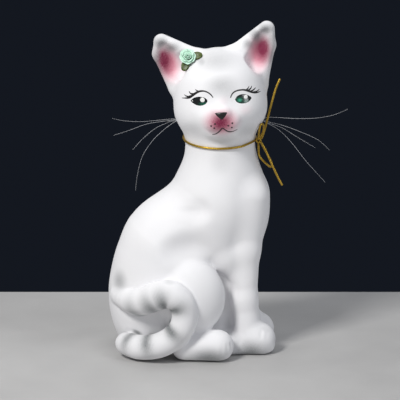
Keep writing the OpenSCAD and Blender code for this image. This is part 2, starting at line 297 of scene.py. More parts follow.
def dress(obj, material, slot, *nodes):
    obj.data.materials.clear()
    obj.data.materials.append(material)
    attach(obj, "root")
    if nodes:
        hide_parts(*nodes)
    return obj


# ---- Gold cord --------------------------------------------------------------
CORD_D = 1.8
CORD_Z = 179
KNOT_AT = np.array([56.1, -7.7, 179])
KNOT_TURN = math.radians(-12)
LOOP_UPPER = [[55.9, -9.8, 180.2], [56, -11.4, 182.2], [56.2, -14.2, 186], [56.5, -17, 190],
              [57.2, -18, 193], [58.8, -16.6, 194], [60.1, -13.5, 191.5], [59.8, -10.6, 186.5],
              [58.2, -8.8, 183.2], [56.95, -8.1, 180.9]]
LOOP_LOWER = [[56, -8, 177.5], [56.1, -8.3, 175.2], [56.2, -8.7, 171], [57, -8.7, 165.5],
              [61.5, -7, 160], [66, -5, 156], [67.5, -3.5, 157], [66.5, -3, 161],
              [62.5, -4.5, 168.5], [58.7, -6.3, 175.4], [57.6, -6.8, 177.6]]
TAIL_UPPER = [[58.3, -6.95, 179.9], [59.7, -6.9, 183], [61.8, -7.1, 190], [65.8, -6.5, 206],
              [70, -5, 221], [73.5, -4, 229.5]]
TAIL_LOWER = [[57.8, -9.3, 178], [59.3, -10.2, 175.6], [62.3, -11, 170], [68, -11.5, 157.5],
              [73, -11.5, 147], [76, -11.5, 141.5]]


def braid(turns, run):
    """Eight flat yarns that cross over and under each other."""
    one = np.cos(4 * turns + 2.6 * run)
    two = np.cos(4 * turns - 2.6 * run)
    return 0.13 * np.maximum(np.abs(one), np.abs(two)) - 0.13


def gold_look():
    look = Look("gold_thread", (0.40, 0.24, 0.022), 0.32, Metallic=0.85)
    look.tint(look.map(look.noise(900, 3), 0.35, 0.65, 0, 1), (0.60, 0.40, 0.06))
    look.tint(look.map(look.noise(2600, 2), 0.5, 0.7, 0, 0.7), (0.10, 0.05, 0.004))
    look.rough(look.map(look.noise(1500, 3), 0.3, 0.7, 0.25, 0.5))
    look.bump(look.noise(3500, 2, (1, 1, 0.4)), 0.00005)
    return look.material


GOLD = gold_look()


def free_cord(name, route, node):
    path = even_route(smooth_route(route, 10), 0.24)
    obj = dress(tube(name, path, CORD_D / 2, 28, braid), GOLD, "gold_cord", node)


free_cord("bow_loop_up", LOOP_UPPER, "bow_loop_upper")
free_cord("bow_loop_down", LOOP_LOWER, "bow_loop_lower")
free_cord("bow_tail_up", TAIL_UPPER, "cord_tail_upper")
free_cord("bow_tail_down", TAIL_LOWER, "cord_tail_lower")


# ---- Clay -------------------------------------------------------------------
VOXEL = 0.9
LOW, HIGH = np.array([-82, -76, -6.0]), np.array([84, 66, 288.0])
FAR = 30.0


def soft_min(a, b, k):
    """The smaller of two distances, with a rounded join about k wide."""
    return np.minimum(a, b) - np.maximum(k - np.abs(a - b), 0) ** 2 / (4 * k)


def turn(axis, degrees):
    c, s = math.cos(math.radians(degrees)), math.sin(math.radians(degrees))
    rows = {"x": [[1, 0, 0], [0, c, -s], [0, s, c]], "y": [[c, 0, s], [0, 1, 0], [-s, 0, c]],
            "z": [[c, -s, 0], [s, c, 0], [0, 0, 1]]}
    return np.array(rows[axis])


class Place:
    """A frame on the cat: points go from it to the row frame, both in millimetres."""

    def __init__(self, at=(0, 0, 0), rotation=np.eye(3)):
        self.at, self.rotation = np.array(at, float), rotation

    def out(self, p):
        return self.at + np.asarray(p, float) @ self.rotation.T

    def into(self, p):
        return (np.asarray(p, float) - self.at) @ self.rotation

    def back(self, x, y, z):
        x, y, z = x - self.at[0], y - self.at[1], z - self.at[2]
        r = self.rotation
        return tuple(r[0, i] * x + r[1, i] * y + r[2, i] * z for i in range(3))


BODY = Place()
HEAD = Place((24, -2, 216), turn("z", 1) @ turn("y", -4))


class Clay:
    """A signed distance on a grid: negative in the clay. Every shape is melted in or carved out."""

    def __init__(self):
        self.count = np.ceil((HIGH - LOW) / VOXEL).astype(int) + 1
        self.gap = np.full(self.count, FAR, np.float32)

    def press(self, place, distance, low, high, k, carve):
        """Works one shape into the grid, no further from its box than its blend reaches."""
        middle, half = (np.array(low) + high) / 2, (np.array(high) - low) / 2
        centre = place.out(middle)
        reach = np.abs(place.rotation) @ half + 1.8 * k + 3 * VOXEL
        a = np.clip(np.floor((centre - reach - LOW) / VOXEL).astype(int), 0, self.count - 1)
        b = np.clip(np.ceil((centre + reach - LOW) / VOXEL).astype(int) + 1, 1, self.count)
        box = tuple(slice(i, j) for i, j in zip(a, b))
        x, y, z = (LOW[i] + VOXEL * np.arange(a[i], b[i]) for i in range(3))
        there = place.back(x[:, None, None], y[None, :, None], z[None, None, :])
        d = distance(*there).astype(np.float32)
        old = self.gap[box]
        self.gap[box] = -soft_min(-old, d, k) if carve else soft_min(old, d, k)

    def ball(self, place, centre, half_sizes, k=4, carve=False):
        c, r = np.array(centre, float), np.ones(3) * np.array(half_sizes, float)

        def distance(x, y, z):
            q = [(v - c[i]) / r[i] for i, v in enumerate((x, y, z))]
            n = np.sqrt(sum(v * v for v in q))
            return n * (n - 1) / np.maximum(np.sqrt(sum((v / s) ** 2 for v, s in zip(q, r))), 1e-5)
        self.press(place, distance, c - r, c + r, k, carve)

    def limb(self, place, a, b, ra, rb, k=4, carve=False):
        a, b = np.array(a, float), np.array(b, float)
        d, r = b - a, max(ra, rb)

        def distance(x, y, z):
            p = (x - a[0], y - a[1], z - a[2])
            t = np.clip(sum(v * w for v, w in zip(p, d)) / (d @ d), 0, 1)
            return np.sqrt(sum((v - t * w) ** 2 for v, w in zip(p, d))) - ra - (rb - ra) * t
        self.press(place, distance, np.minimum(a, b) - r, np.maximum(a, b) + r, k, carve)

    def plate(self, place, corners, r, k=4, carve=False):
        """A flat triangle with a rounded thickness."""
        a, b, c = (np.array(v, float) for v in corners)
        n = np.cross(b - a, c - a)

        def distance(x, y, z):
            p = np.stack(np.broadcast_arrays(x, y, z), -1)

            def edge(u, v):
                t = np.clip((p - u) @ (v - u) / ((v - u) @ (v - u)), 0, 1)
                return ((p - u - t[..., None] * (v - u)) ** 2).sum(-1)
            inside = np.ones(p.shape[:-1], bool)
            for u, v in ((a, b), (b, c), (c, a)):
                inside &= (p - u) @ np.cross(n, v - u) > 0
            rim = np.minimum(np.minimum(edge(a, b), edge(b, c)), edge(c, a))
            return np.sqrt(np.where(inside, ((p - a) @ n) ** 2 / (n @ n), rim)) - r
        v = np.stack([a, b, c])
        self.press(place, distance, v.min(0) - r, v.max(0) + r, k, carve)

    def mesh(self, name):
        grid = openvdb.FloatGrid(FAR)
        grid.copyFromArray(self.gap)
        points, triangles, quads = grid.convertToPolygons(0.0, 0.0)
        faces = [f[::-1] for f in quads.tolist()] + [f[::-1] for f in triangles.tolist()]
        return mesh_of(name, points * VOXEL + LOW, faces)


# ---- Shape of the cat -------------------------------------------------------
TAIL = smooth_route([
    [-59, -17, 49, 9], [-50, -34, 48.5, 9.6], [-39, -45, 50.5, 10.6], [-28, -50, 56.5, 11.4],
    [-17, -52, 59, 11], [-8, -53, 53, 10.5], [-5, -53, 43, 10], [-7, -53, 31, 10],
    [-16, -52, 20.5, 10], [-28, -50, 14, 10], [-43, -44, 11, 10], [-54, -35, 12, 9]], 3)


# The forelegs of both sides are this far along Y from the middle of the body
FORE_Y = -3


def shape_trunk(clay):
    """Rump, back, barrel, chest, neck, the web of the belly and the foot of the casting."""
    clay.ball(BODY, (-28, 0, 46), (42, 42, 62), 1)
    clay.ball(BODY, (-23, 0, 97), (27, 30, 27), 10)
    clay.limb(BODY, (-13, 0, 86), (14, 0, 128), 41, 32, 20)
    clay.ball(BODY, (32, 0, 120), (34, 30, 46), 18)
    clay.limb(BODY, (25, 0, 138), (24, 0, 196), 27, 30, 18)
    clay.ball(BODY, (20, 0, 30), (36, 19, 72), 11)
    clay.ball(BODY, (24, 0, 4), (40, 34, 14), 8)


def shape_side(clay, side):
    """The dent of the flank, thigh, hind foot, shoulder, elbow, crease, foreleg, paw and toes."""
    y = FORE_Y
    clay.ball(BODY, (2, 54 * side, 94), (28, 20, 15), 9, carve=True)
    clay.ball(BODY, (0, 33 * side, 51), (28.5, 20, 32), 3)
    clay.limb(BODY, (-4, 42 * side, 11), (22, 43 * side, 12), 12, 13.5, 5)
    clay.ball(BODY, (25, 17 * side + y, 122), (21, 17, 30), 8)
    clay.limb(BODY, (13, 21 * side + y, 112), (30, 18 * side + y, 82), 11, 9, 10)
    clay.limb(BODY, (30, 18 * side + y, 82), (42, 16 * side + y, 62), 9, 7, 8)
    clay.limb(BODY, (-14, 40 * side, 131), (6, 40 * side, 126), 4, 5, 10, carve=True)
    clay.limb(BODY, (50, 13 * side + y, 132), (46.5, 15 * side + y, 88), 13.5, 10.8, 10)
    clay.limb(BODY, (46.5, 15 * side + y, 88), (45.5, 16 * side + y, 46), 10.8, 9.8, 6)
    clay.limb(BODY, (45.5, 16 * side + y, 46), (48, 16 * side + y, 16), 9.8, 12, 6)
    clay.ball(BODY, (56, 16 * side + y - 1, 12), (15, 14, 13.5), 5)
    clay.limb(BODY, (36, 17 * side + y, 6), (58, 18 * side + y, 6), 11, 11, 6)
    for x, z in ((58, 21), (63.5, 19)):
        clay.limb(BODY, (x, 34 * side + y, z - 8), (x + 1, 28 * side + y, z), 1, 0.8, 2, carve=True)
    for x, out in ((27, 57.5), (31.5, 54.5), (34.5, 50.5)):
        clay.limb(BODY, (x, out * side, 5), (x - 1, (out - 0.5) * side, 16), 1, 0.8, 2, carve=True)


def shape_head(clay):
    """Skull, cheeks, muzzle and chin, then the eye hollows, the whisker pads and the nose."""
    clay.ball(HEAD, (0, 3, 3), (38, 37, 36), 10)
    clay.ball(HEAD, (0, -4, -12), (37, 34, 24), 10)
    clay.ball(HEAD, (0, -29, -15), (14, 12, 12), 9)
    clay.ball(HEAD, (0, -24, -24), (13, 13, 7), 7)
    for side in (-1, 1):
        clay.ball(HEAD, (19 * side, -41, 1), (12, 6, 8), 8, carve=True)
        clay.ball(HEAD, (6 * side, -36.5, -17.5), (7.5, 6, 6.5), 3)
    clay.ball(HEAD, (0, -39.5, -10), (6, 4, 4.5), 4)


# Inner base, outer base, outer bend and tip of each ear, then the ends of its dish
RIGHT_EAR = [(-17, 2, 32.5), (-36, 5, 9), (-46.3, 4, 37), (-45, 3, 47)]
RIGHT_DISH = [(-36, -7, 24), (-43.5, -6, 41)]
LEFT_EAR = [(14, 2, 33), (34, 5, 7), (42.2, 4, 38), (42.3, 3, 51.5)]
LEFT_DISH = [(32, -7, 27), (39.5, -6, 46)]


def shape_ear(clay, corners, dish):
    clay.plate(HEAD, (corners[0], corners[1], corners[2]), 6.5, 7)
    clay.plate(HEAD, (corners[0], corners[2], corners[3]), 6.5, 3)
    clay.limb(HEAD, dish[0], dish[1], 9.5, 7, 3, carve=True)


def make_body():
    clay = Clay()
    shape_trunk(clay)
    for side in (-1, 1):
        shape_side(clay, side)
    for a, b in zip(TAIL[:-1], TAIL[1:]):
        clay.limb(BODY, a[:3], b[:3], a[3], b[3], 1.5)
    shape_head(clay)
    shape_ear(clay, RIGHT_EAR, RIGHT_DISH)
    shape_ear(clay, LEFT_EAR, LEFT_DISH)
    # The vent and the belly's hollow
    clay.limb(BODY, (21, 0, -6), (21, 0, 24), 8, 8, 1.5, carve=True)
    clay.ball(BODY, (5, 0, 42), (38, 18, 37), 2, carve=True)
    # Everything below the floor is cut off
    above = (LOW[2] + VOXEL * np.arange(clay.count[2])).astype(np.float32)
    clay.gap = -soft_min(-clay.gap, np.broadcast_to(above, clay.gap.shape), 4)
    return clay.mesh("ceramic_cat")


body = make_body()
dress(body, ceramic_look(), "ceramic", "ceramic_body")


# ---- Painting ---------------------------------------------------------------
P = points_of(body)
IN_HEAD = HEAD.into(P)
FLAT = IN_HEAD * (1, 0, 1)
# The sprayed colours and the painted shade of the face and the ears keep to the front
FRONT = np.clip((6.5 - IN_HEAD[:, 1]) / 2, 0, 1) * (IN_HEAD[:, 2] > -38)


def spot(p, centre, sizes):
    """A soft spot, used alike for sprayed colour, painted shade and painted highlights: 1 in its middle and
    0 from its sizes outwards.
    """
    t = np.clip(1 - np.linalg.norm((p - centre) / np.array(sizes, float), axis=1), 0, 1)
    return t * t * (3 - 2 * t)


# Middle of each tail band on the centreline, its half width along the tail and its strength
BANDS = [(-44, -41, 51, 5.5, 0.5), (-33, -48, 54, 5, 0.65), (-22, -51, 58, 5.5, 0.8),
         (-7, -53, 50, 6.5, 0.85), (-11, -53, 25, 5.5, 0.85), (-33, -48, 13, 5, 0.75),
         (-49, -39, 11, 4.5, 0.7)]
CURL_MIDDLE = np.array([-30, -52, 36])


def tail_bands():
    """Grey bands over the tail, strongest on the inside of its curl. The bands are sprayed grey. Weighting
    them to the inside is partly painted shade, because on the upper arc the inside is the tail's underside.
    """
    path = smooth_route(TAIL[:, :3], 4)
    run = np.concatenate([[0], np.cumsum(np.linalg.norm(np.diff(path, axis=0), axis=1))])
    near = np.flatnonzero((P[:, 1] < -20) & (P[:, 0] < 12) & (P[:, 2] < 78))
    gaps = np.linalg.norm(P[near, None] - path[None], axis=2)
    which = gaps.argmin(1)
    at, gap = run[which], gaps.min(1)
    inwards = CURL_MIDDLE - path[which]
    inwards /= np.linalg.norm(inwards, axis=1)[:, None]
    out = (P[near] - path[which]) / gap[:, None]
    # On the upper arc this weight darkens the tail's underside: painted shade
    inside = np.clip(((out * inwards).sum(1) + 0.8) / 1.3, 0.0, 1)
    grey = np.zeros(len(near))
    for x, y, z, width, strength in BANDS:
        middle = run[np.linalg.norm(path - (x, y, z), axis=1).argmin()]
        band = np.exp(-((at - middle) / width) ** 2)
        grey = np.maximum(grey, 1.15 * strength * band * inside)
    grey *= np.clip((13.8 - gap) / 1.5, 0, 1)
    full = np.zeros(len(P))
    full[near] = grey
    return full


# Sprayed grey and painted shade, laid into one mask
def spray_grey_and_shade():
    grey = tail_bands()
    # Of these, the spots between the hind foot and the forepaw (38, -26, 8) and on the neck under the chin
    # (24, -31, 166) are painted shade. The spot in the crease behind the shoulder (-2, -33, 126) is partly
    # sprayed grey and partly painted shade.
    on_body = [((-60, -26, 63), (12, 16, 13), 0.55), ((15, -56, 5), (23, 18, 13), 0.8),
               ((50, -33, 3), (22, 20, 15), 0.85), ((38, -26, 8), (9, 14, 14), 0.6),
               ((15, 56, 5), (23, 18, 13), 0.8), ((50, 27, 3), (22, 20, 15), 0.85),
               ((70, -18, 10), (9, 14, 9), 0.5),
               ((24, -31, 166), (13, 12, 15), 0.16), ((-2, -33, 126), (13, 9, 4.5), 0.12),
               ((-18, -56, 71), (7, 9, 5), 0.25), ((62, -28, 22), (6, 5, 5), 0.15)]
    for centre, sizes, strength in on_body:
        grey = np.maximum(grey, strength * spot(P, centre, sizes))
    # Of the face's spots, the one under the chin at (0, -32) is painted shade. The ear spots darken the
    # upper and inner parts of the ear hollows under their rims, partly as sprayed grey and partly as painted
    # shade.
    on_head = [(-2, 31, 27, 13, 0.42), (1, 12, 18, 13, 0.4), (-13, 31, 7, 7, 0.5), (-25, -21, 11, 9, 0.18),
               (20, -27, 12, 9, 0.22), (0, -32, 14, 7, 0.25), (-46, 47, 10, 9, 0.7), (-37, 42, 11, 7, 0.75),
               (-29, 37, 9, 6, 0.6), (-50, 36, 5, 14, 0.5), (41, 52, 10, 8, 0.8), (33, 47, 9, 9, 0.8),
               (26, 41, 7, 7, 0.6), (46, 42, 5, 14, 0.5), (-49, 24, 5, 9, 0.4), (45, 27, 5, 10, 0.35)]
    for x, z, half_w, half_h, strength in on_head:
        grey = np.maximum(grey, strength * FRONT * spot(FLAT, (x, 0, z), (half_w, 1, half_h)))
    return grey


def spray_blush():
    blush = 1.1 * spot(FLAT, (-1, 0, -16.5), (19.5, 1, 15))
    for x, z, half_w, half_h, strength in [(-40, 28, 13, 20, 1.2), (34.5, 32, 13, 20, 1.2),
                                           (19, -9, 9, 7, 0.14), (2, 0, 7, 7, 0.1)]:
        blush = np.maximum(blush, strength * spot(FLAT, (x, 0, z), (half_w, 1, half_h)))
    return blush


def spray_wine():
    wine = 1.05 * spot(FLAT, (-1.5, 0, -16.5), (16, 1, 13))
    for x, z, half_w, half_h, strength in [(-44, 32.5, 12, 19, 1.15), (38, 36, 12, 19, 1.15)]:
        wine = np.maximum(wine, strength * spot(FLAT, (x, 0, z), (half_w, 1, half_h)))
    return np.minimum(wine, 1)


paint(body, "grey", spray_grey_and_shade())
paint(body, "blush", np.minimum(FRONT * spray_blush(), 1))
paint(body, "wine", FRONT * spray_wine())


# ---- Painted face -----------------------------------------------------------
SKIN = BVHTree.FromPolygons([v.co for v in body.data.vertices], [f.vertices for f in body.data.polygons])


def hit(start, way):
    """Where a line first meets the clay, in millimetres."""
    found = SKIN.ray_cast(Vector(start) * MM, Vector(way).normalized())[0]
    return np.array(found) / MM


FACE_WAY = HEAD.rotation @ np.array([0, 1.0, 0])


def on_face(x, z, lift):
    """The point of the face at x and z in the head's frame, raised by lift."""
    return hit(HEAD.out((x, -90, z)), FACE_WAY) - lift * FACE_WAY


# Section of a brush stroke: half widths across and heights
STROKE = ((-1, 0.02), (-0.6, 0.8), (0, 1), (0.6, 0.8), (1, 0.02), (0.6, -2), (-0.6, -2))
# The strokes' stated widths are those of fine lines, and the paint spreads by this much
SPREAD = 1.4
# How far the back of a patch of paint lies in the clay
SUNK = -0.3


def stroke(lines, height):
    """One mesh of brush strokes. Each is a list of x, z and width."""
    points, faces, n = [], [], len(STROKE)
    for line in lines:
        route = smooth_route(line, 6) * (1, 1, SPREAD)
        ways = np.gradient(route[:, :2], axis=0)
        ways /= np.linalg.norm(ways, axis=1)[:, None]
        first = len(points)
        for (x, z, width), (dx, dz) in zip(route, ways):
            for across, lift in STROKE:
                w = across * width / 2
                points.append(on_face(x - dz * w, z + dx * w, lift * height))
        for i in range(len(route) - 1):
            for j in range(n):
                a, b = first + i * n + j, first + i * n + (j + 1) % n
                faces.append([a, b, b + n, a + n])
        faces.append([first + j for j in range(n - 1, -1, -1)])
        faces.append([len(points) - n + j for j in range(n)])
    return points, faces


def patch(outline, height, rings=7, base=0.0):
    """A blob of paint inside an outline of x and z points, thin at its edge."""
    loop = smooth_route(outline + outline[:1], 5)[:-1]
    middle, n = loop.mean(0), len(loop)
    points = []
    for front in (True, False):
        for i in range(rings):
            t = (i + 1) / rings
            h = base + height * (1 - t ** 4) if front else SUNK
            points += [on_face(*(middle + (p - middle) * t), h) for p in loop]
    points += [on_face(*middle, base + height), on_face(*middle, SUNK)]
    faces = []
    for layer in (0, 1):
        start = layer * rings * n
        for i in range(rings - 1):
            for j in range(n):
                a, b = start + i * n + j, start + i * n + (j + 1) % n
                faces.append([a, b, b + n, a + n][::1 if layer else -1])
        for j in range(n):
            faces.append([len(points) - 2 + layer, start + (j + 1) % n, start + j][::1 if layer else -1])
    low, high = (rings - 1) * n, (2 * rings - 1) * n
    faces += [[low + j, low + (j + 1) % n, high + (j + 1) % n, high + j][::-1] for j in range(n)]
    return points, faces


def oval(x, z, half_w, half_h, count=10):
    return [[x + half_w * math.cos(a), z + half_h * math.sin(a)]
            for a in np.arange(count) * 2 * math.pi / count]


def joined(name, parts):
    points, faces = [], []
    for p, f in parts:
        faces += [[v + len(points) for v in face] for face in f]
        points += list(p)
    obj = mesh_of(name, points, faces)
    bm = bmesh.new()
    bm.from_mesh(obj.data)
    bmesh.ops.recalc_face_normals(bm, faces=bm.faces)
    bm.to_mesh(obj.data)
    bm.free()
    return obj


# Outlines and strokes of the face in x and z of the head's frame, the strokes with their widths
RIGHT_EYE = [[-24.8, 0.9], [-22, 3.2], [-18.2, 4.2], [-14.7, 3.9], [-12, 2.5], [-10.9, 0.6],
             [-12.8, -1.9], [-16.4, -3.0], [-20, -2.5], [-23.1, -0.7]]
LEFT_EYE = [[11.2, 0.3], [13.2, 2.6], [16.1, 3.7], [19.4, 3.5], [22.6, 2.1], [25, -0.3],
            [23.1, -2.5], [19.7, -3.6], [16, -3.5], [12.8, -2.1]]
LIDS = [
    [[-6.2, 3.2, 0.5], [-8.1, 5.8, 0.7], [-10.3, 7.5, 0.8], [-12.9, 8.5, 0.9], [-16, 8.6, 1.1],
     [-19.3, 7.4, 1.3], [-22.7, 5.1, 1.3], [-26, 3.1, 1.0], [-31.4, 2.6, 0.3]],
    [[-21.6, 5.6, 0.9], [-26.4, 4.1, 0.9], [-29.4, 5.4, 0.3]],
    [[-19.8, 6.9, 0.9], [-23.6, 6.4, 0.9], [-25.2, 8.3, 0.3]],
    [[-17, 8.2, 0.8], [-18.6, 8.9, 0.7], [-20.2, 9.9, 0.3]],
    [[7.8, 1.9, 0.5], [8.7, 3.9, 0.7], [10.3, 5.7, 0.8], [12.9, 6.9, 0.8], [16, 7.2, 0.9],
     [19.2, 6.9, 1.0], [22.5, 5.7, 1.2], [26.1, 3.9, 1.1], [29.5, 2.9, 0.9], [33.1, 3, 0.3]],
    [[20.3, 6.5, 0.7], [22.4, 7.4, 0.7], [23.7, 9.1, 0.3]],
    [[22.2, 6, 0.8], [24.6, 6.9, 0.8], [26, 8.9, 0.3]],
    [[24, 5, 0.8], [27, 5.5, 0.8], [29.1, 7, 0.3]],
    [[26.6, 3.9, 0.8], [29.8, 3.9, 0.7], [32.4, 4.9, 0.3]]]
NOSE = [[-5.9, -8.5], [-3.6, -8.0], [-1.2, -7.9], [1.4, -7.9], [4, -8.4], [3.2, -10.2],
        [1.4, -12.4], [-0.6, -14], [-2.4, -12.6], [-4.4, -10.6]]
MOUTH = [
    [[-9, -26.6, 0.3], [-6.9, -26.3, 0.6], [-4.8, -25.2, 0.7], [-2.6, -23.2, 0.7], [-0.5, -21.2, 0.7],
     [1.1, -22.3, 0.7], [2.9, -23.9, 0.8], [5.4, -24.9, 0.8], [8.3, -24.8, 0.6], [11.7, -23.8, 0.3]]]
FRECKLES = [[-6.3, -17.1], [-9.5, -18.7], [-7.1, -20.6], [7.7, -17.5], [4.3, -19.3], [7.1, -21.1]]


def enamel(name, colour, second):
    return plain_look(name, colour, 0.42, second, 700, 0.00003, Coat_Weight=0.08, Coat_Roughness=0.25)


def eye_look():
    look = Look("emerald_enamel", (0.004, 0.006, 0.006), 0.16, Coat_Weight=0.6, Coat_Roughness=0.06)
    green = look.math("MULTIPLY", look.attribute("green"), look.map(look.noise(1400, 3), 0.3, 0.7, 0.7, 1.2))
    look.tint(green, (0.005, 0.12, 0.066))
    # The shine attribute lays a painted highlight of light green over the eye
    look.tint(look.attribute("shine"), (0.12, 0.62, 0.42))
    look.bump(look.noise(2200, 2), 0.00003)
    return look.material


def make_face():
    black = enamel("black_enamel", (0.003, 0.0025, 0.003), (0.008, 0.007, 0.007))
    white = enamel("white_highlight_enamel", (0.88, 0.88, 0.86), (0.8, 0.8, 0.79))
    eyes = joined("painted_eyes", [patch(RIGHT_EYE, 0.14), patch(LEFT_EYE, 0.14)])
    flat = HEAD.into(points_of(eyes)) * (1, 0, 1)
    green = np.maximum.reduce([
        0.75 * spot(flat, (-14.2, 0, -1.6), (6, 1, 2.4)),
        1.0 * spot(flat, (15, 0, -0.6), (5, 1, 3.6)), 0.7 * spot(flat, (20, 0, -2.4), (5, 1, 2))])
    paint(eyes, "green", green)
    # A painted highlight: a light green spot on the left eye
    paint(eyes, "shine", 0.6 * spot(flat, (15.2, 0, -0.7), (2.4, 1, 1.8)))
    dress(eyes, eye_look(), "ceramic")
    # White dots painted on both eyes as highlights, and a small one at the outer corner of the right eye
    lights = [patch(oval(-14.9, 1.5, 1.9, 1.8), 0.14, 4, 0.17),
              patch(oval(20.4, 1.2, 1.6, 1.6), 0.14, 4, 0.17),
              patch(oval(-23, 0.9, 0.45, 0.5), 0.08, 3, 0.1)]
    dress(joined("eye_highlights", lights), white, "ceramic")
    dress(joined("lids_and_lashes", [stroke(LIDS, 0.13)]), black, "ceramic")
    dress(joined("painted_nose", [patch(NOSE, 0.35)]), black, "ceramic")
    freckles = [patch(oval(x, z, 0.78, 0.72), 0.1, 3) for x, z in FRECKLES]
    dress(joined("mouth_and_freckles", [stroke(MOUTH, 0.1), *freckles]), black, "ceramic")


make_face()


# ---- Neck cord and knot -----------------------------------------------------
NECK = np.array([23.2, -0.4])
# How far each end of the neck cord stops from the middle of the knot
KNOT_HOLD = 2.2
WRAP_R = 0.85


def neck_cord():
    hold = math.asin(KNOT_HOLD / math.hypot(*(KNOT_AT[:2] - NECK)))
    route = []
    for a in np.linspace(KNOT_TURN + hold, KNOT_TURN + 2 * math.pi - hold, 241):
        way = np.array([math.cos(a), math.sin(a), 0])
        z = cord_height(a)
        start = np.array([*NECK, z]) + way * 60
        route.append(hit(start, -way) + way * (CORD_D / 2 + 0.1))
    return np.array(route)


def cord_height(angle):
    """The cord sits lower under the chin than at the nape."""
    off = abs((angle - KNOT_TURN + math.pi) % (2 * math.pi) - math.pi)
    return CORD_Z + 4.2 * (math.sin(angle) - math.sin(KNOT_TURN)) * min(off / math.radians(40), 1)


def knot_wraps():
    """Three turns of the cord that cross on the front of the knot."""
    out = np.array([math.cos(KNOT_TURN), math.sin(KNOT_TURN), 0])
    along = np.array([-out[1], out[0], 0])
    up = np.array([0, 0, 1.0])
    parts = []
    for lean, shift, size in ((0.0, 0.9, 1.75), (0.0, -0.9, 1.75), (0.75, 0, 1.95)):
        turns = np.linspace(0, 2 * math.pi, 61)
        across = along * math.cos(lean) + up * math.sin(lean)
        rise = up * math.cos(lean) - along * math.sin(lean)
        ring = [KNOT_AT + across * shift + size * (out * math.cos(t) * 0.85 + rise * math.sin(t))
                + across * 0.25 * math.sin(2 * t) for t in turns]
        parts.append(tube_skin(ring, WRAP_R, 24, braid))
    return joined("bow_knot_wraps", parts)


dress(tube("gold_neck_cord", even_route(neck_cord(), 0.24), CORD_D / 2, 28, braid),
      GOLD, "gold_cord", "neck_cord")
dress(knot_wraps(), GOLD, "gold_cord", "bow_knot")


# ---- Whiskers ---------------------------------------------------------------
# Where the four strands leave the glue, across and up
STRAND_AT = [[-0.7, 0.6], [0.7, 0.5], [-0.7, -0.6], [0.7, -0.7]]
LEFT_WHISKERS = [
    [[66, 4, 196.2], [87, 1, 195.6], [104, -1, 196.3], [118, -3, 199.1], [130, -5, 204.4]],
    [[65, 5, 192], [76, 4, 189.5], [91.6, 2, 184.1], [106.3, 0, 177.5], [115.7, -1, 169.1]],
    [[64.5, 4, 191.3], [76, 3, 187.5], [88.4, 1, 180.1], [103.6, -2, 171.5]],
    [[64.5, 5, 190.6], [73.7, 4, 185.3], [84.2, 3, 174.8], [96.8, 2, 158.9], [112.6, 0, 141.6]]]
RIGHT_WHISKERS = [
    [[-18, 4.5, 194.5], [-30.5, 1, 193.8], [-42.7, -2, 193.4], [-55.7, -4, 194.6], [-65, -6, 196.8]],
    [[-18, 2.8, 193.5], [-24, 2, 193], [-37, -1, 191.2], [-51, -5, 186.7], [-64, -9, 183.1]],
    [[-17, 4.3, 192.6], [-20, 4, 191.4], [-29.6, 1, 187.3], [-39.8, -2, 179.3], [-48.2, -5, 170.4]],
    [[-16, 2.9, 190.8], [-23, 2.5, 185.5], [-32.4, 2, 176.2], [-40.8, 1, 163], [-45, 0, 147],
     [-46.4, 0, 134.6]]]


# A strand's radius at its root and at its tip
ROOT_R, TIP_R = 0.17, 0.08


def glue_look():
    look = Look("clear_glue", (0.80, 0.80, 0.76), 0.18, Transmission_Weight=0.45, IOR=1.45)
    look.tint(look.map(look.noise(900, 3), 0.4, 0.7, 0, 0.7), (0.72, 0.71, 0.64))
    look.bump(look.noise(700, 3), 0.0001)
    return look.material


def blob(name, at, rotation, half_sizes, bumps):
    """A lumpy drop, flat on the side that it sticks with."""
    rings, sides = 10, 24
    points, faces = [], []
    for i in range(rings + 1):
        lift = math.pi * i / rings
        for j in range(sides):
            a = 2 * math.pi * j / sides
            lump = (1 + bumps * math.sin(3 * a + 2 * lift) * math.sin(lift)
                    + bumps * math.sin(5 * a - lift) * 0.5)
            u = np.array([math.sin(lift) * math.cos(a), math.sin(lift) * math.sin(a),
                          max(math.cos(lift), -0.3)])
            points.append(at + rotation @ (u * half_sizes * lump))
    for i in range(rings):
        for j in range(sides):
            k = (j + 1) % sides
            faces.append([i * sides + j, (i + 1) * sides + j, (i + 1) * sides + k, i * sides + k])
    obj = mesh_of(name, points, faces)
    bm = bmesh.new()
    bm.from_mesh(obj.data)
    bmesh.ops.remove_doubles(bm, verts=bm.verts, dist=1e-6)
    bmesh.ops.recalc_face_normals(bm, faces=bm.faces)
    bm.to_mesh(obj.data)
    bm.free()
    obj.data.polygons.foreach_set("use_smooth", [True] * len(obj.data.polygons))
    return obj


def make_whiskers(side, angle, routes, nylon, glue):
    low, high = (np.array(v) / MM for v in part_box("glue_" + side))
    way = np.array([math.cos(math.radians(angle)), math.sin(math.radians(angle)), 0])
    across = np.array([-way[1], way[0], 0])
    cheek = (low + high) / 2 + 1.2 * way
    for i, route in enumerate(routes):
        root = cheek + STRAND_AT[i][0] * across + (0, 0, STRAND_AT[i][1])
        path = np.concatenate([[root - 2 * way, root], smooth_route([root + way, *route], 8)])
        path = even_route(path, 0.9)
        wave = np.linspace(0, 1, len(path))[:, None]
        path = path + 0.12 * np.sin(wave * (9 + i) + i) * wave * across
        radius = np.linspace(ROOT_R, TIP_R, len(path))
        name = "whisker_" + side + "_" + str(i + 1)
        dress(tube("nylon_" + name, path, radius, 10), nylon, "nylon", name)
    turned = np.stack([across, np.array([0, 0, 1.0]), way], 1)
    dress(blob("glue_drop_" + side, cheek + 0.1 * way, turned, np.array([1.75, 1.6, 0.9]), 0.05),
          glue, "clear_glue", "glue_" + side)


